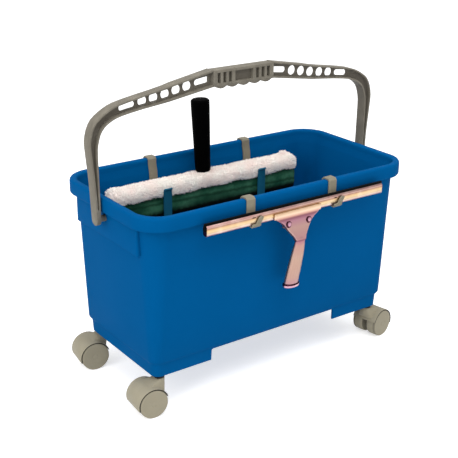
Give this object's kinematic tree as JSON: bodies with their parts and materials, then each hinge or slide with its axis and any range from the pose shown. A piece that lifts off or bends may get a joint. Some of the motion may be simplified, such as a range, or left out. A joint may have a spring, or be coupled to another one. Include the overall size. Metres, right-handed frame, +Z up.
{
  "type": "wheeled window cleaning bucket",
  "caption": "Rectangular cleaning bucket on swivel twin wheel casters with a bail handle, rim holders, a hung squeegee and a washer with a grip.",
  "frame": {"origin": "on the floor, under the middle of the whole part", "axes": "+X along the long side of the tub towards its right end, +Y towards the rear side with the washer, +Z up"},
  "size_m": [0.5432, 0.291, 0.4916],
  "materials": {
    "tub_blue": "satin moulded plastic",
    "bail_taupe": "satin moulded plastic",
    "caster_grey": "satin moulded plastic",
    "caster_steel": "plain steel",
    "socket_black": "matte",
    "hook_taupe": "satin moulded plastic",
    "holder_teal": "satin moulded plastic",
    "channel_brass": "drawn, polished",
    "blade_rubber": "matte",
    "handle_copper": "cast, satin, rose coloured",
    "grip_black": "matte",
    "fleece_white": "long pile fleece",
    "scrub_green": "coarse scrub cloth"
  },
  "bodies": {
    "tub_body": {"tub": "tub_blue", "caster_socket_front_left": "socket_black", "caster_socket_rear_left": "socket_black", "caster_socket_front_right": "socket_black", "caster_socket_rear_right": "socket_black"},
    "bail_body": {"bail_handle": "bail_taupe"},
    "caster_front_left": {"caster_hood_front_left": "caster_grey", "caster_stem_front_left": "caster_steel", "caster_axle_front_left": "caster_steel"},
    "wheel_a_front_left": {"caster_wheel_a_front_left": "caster_grey"},
    "wheel_b_front_left": {"caster_wheel_b_front_left": "caster_grey"},
    "caster_rear_left": {"caster_hood_rear_left": "caster_grey", "caster_stem_rear_left": "caster_steel", "caster_axle_rear_left": "caster_steel"},
    "wheel_a_rear_left": {"caster_wheel_a_rear_left": "caster_grey"},
    "wheel_b_rear_left": {"caster_wheel_b_rear_left": "caster_grey"},
    "caster_front_right": {"caster_hood_front_right": "caster_grey", "caster_stem_front_right": "caster_steel", "caster_axle_front_right": "caster_steel"},
    "wheel_a_front_right": {"caster_wheel_a_front_right": "caster_grey"},
    "wheel_b_front_right": {"caster_wheel_b_front_right": "caster_grey"},
    "caster_rear_right": {"caster_hood_rear_right": "caster_grey", "caster_stem_rear_right": "caster_steel", "caster_axle_rear_right": "caster_steel"},
    "wheel_a_rear_right": {"caster_wheel_a_rear_right": "caster_grey"},
    "wheel_b_rear_right": {"caster_wheel_b_rear_right": "caster_grey"},
    "rear_holder_body_left": {"rear_holder_left": "holder_teal"},
    "rear_holder_body_right": {"rear_holder_right": "holder_teal"},
    "front_hook_body_left": {"front_hook_left": "hook_taupe"},
    "front_hook_body_right": {"front_hook_right": "hook_taupe"},
    "squeegee_body": {"squeegee_channel": "channel_brass", "squeegee_clamp_plate": "handle_copper", "squeegee_handle": "handle_copper", "squeegee_handle_cap": "handle_copper", "squeegee_rubber": "blade_rubber", "squeegee_screw_left": "handle_copper", "squeegee_screw_right": "handle_copper"},
    "washer_body": {"washer_bar": "grip_black", "washer_fleece": "fleece_white", "washer_grip": "grip_black", "washer_scrub_cloth": "scrub_green"}
  },
  "joints": [
    {"name": "bail_swing", "type": "hinge", "parent": "tub_body", "child": "bail_body", "pos_m": [0, 0.01073, 0.292], "axis": [1, 0, 0], "range_deg": [-120, 85]},
    {"name": "swivel_front_left", "type": "hinge", "parent": "tub_body", "child": "caster_front_left", "pos_m": [-0.2135, -0.07927, 0.06], "axis": [0, 0, 1], "continuous": true},
    {"name": "roll_a_front_left", "type": "hinge", "parent": "caster_front_left", "child": "wheel_a_front_left", "pos_m": [-0.23342, -0.07753, 0.0235], "axis": [-0.0872, -0.9962, 0], "continuous": true},
    {"name": "roll_b_front_left", "type": "hinge", "parent": "caster_front_left", "child": "wheel_b_front_left", "pos_m": [-0.23342, -0.07753, 0.0235], "axis": [-0.0872, -0.9962, 0], "continuous": true},
    {"name": "swivel_rear_left", "type": "hinge", "parent": "tub_body", "child": "caster_rear_left", "pos_m": [-0.2135, 0.10073, 0.06], "axis": [0, 0, 1], "continuous": true},
    {"name": "roll_a_rear_left", "type": "hinge", "parent": "caster_rear_left", "child": "wheel_a_rear_left", "pos_m": [-0.23331, 0.10351, 0.0235], "axis": [-0.1392, -0.9903, 0], "continuous": true},
    {"name": "roll_b_rear_left", "type": "hinge", "parent": "caster_rear_left", "child": "wheel_b_rear_left", "pos_m": [-0.23331, 0.10351, 0.0235], "axis": [-0.1392, -0.9903, 0], "continuous": true},
    {"name": "swivel_front_right", "type": "hinge", "parent": "tub_body", "child": "caster_front_right", "pos_m": [0.2135, -0.07927, 0.06], "axis": [0, 0, 1], "continuous": true},
    {"name": "roll_a_front_right", "type": "hinge", "parent": "caster_front_right", "child": "wheel_a_front_right", "pos_m": [0.23313, -0.07546, 0.0235], "axis": [-0.1908, 0.9816, 0], "continuous": true},
    {"name": "roll_b_front_right", "type": "hinge", "parent": "caster_front_right", "child": "wheel_b_front_right", "pos_m": [0.23313, -0.07546, 0.0235], "axis": [-0.1908, 0.9816, 0], "continuous": true},
    {"name": "swivel_rear_right", "type": "hinge", "parent": "tub_body", "child": "caster_rear_right", "pos_m": [0.2135, 0.10073, 0.06], "axis": [0, 0, 1], "continuous": true},
    {"name": "roll_a_rear_right", "type": "hinge", "parent": "caster_rear_right", "child": "wheel_a_rear_right", "pos_m": [0.23325, 0.10386, 0.0235], "axis": [-0.1564, 0.9877, 0], "continuous": true},
    {"name": "roll_b_rear_right", "type": "hinge", "parent": "caster_rear_right", "child": "wheel_b_rear_right", "pos_m": [0.23325, 0.10386, 0.0235], "axis": [-0.1564, 0.9877, 0], "continuous": true},
    {"name": "rear_holder_slide_left", "type": "slide", "parent": "tub_body", "child": "rear_holder_body_left", "axis": [1, 0, 0], "range_m": [-0.015, 0.015]},
    {"name": "rear_holder_slide_right", "type": "slide", "parent": "tub_body", "child": "rear_holder_body_right", "axis": [1, 0, 0], "range_m": [-0.015, 0.015]},
    {"name": "front_hook_slide_left", "type": "slide", "parent": "tub_body", "child": "front_hook_body_left", "axis": [1, 0, 0], "range_m": [-0.015, 0.015]},
    {"name": "front_hook_slide_right", "type": "slide", "parent": "tub_body", "child": "front_hook_body_right", "axis": [1, 0, 0], "range_m": [-0.015, 0.015]},
    {"name": "squeegee_lift", "type": "slide", "parent": "tub_body", "child": "squeegee_body", "axis": [0, -0.0349, 0.9994], "range_m": [0, 0.2]},
    {"name": "washer_lift", "type": "slide", "parent": "tub_body", "child": "washer_body", "axis": [0, 0, 1], "range_m": [0, 0.2]}
  ]
}
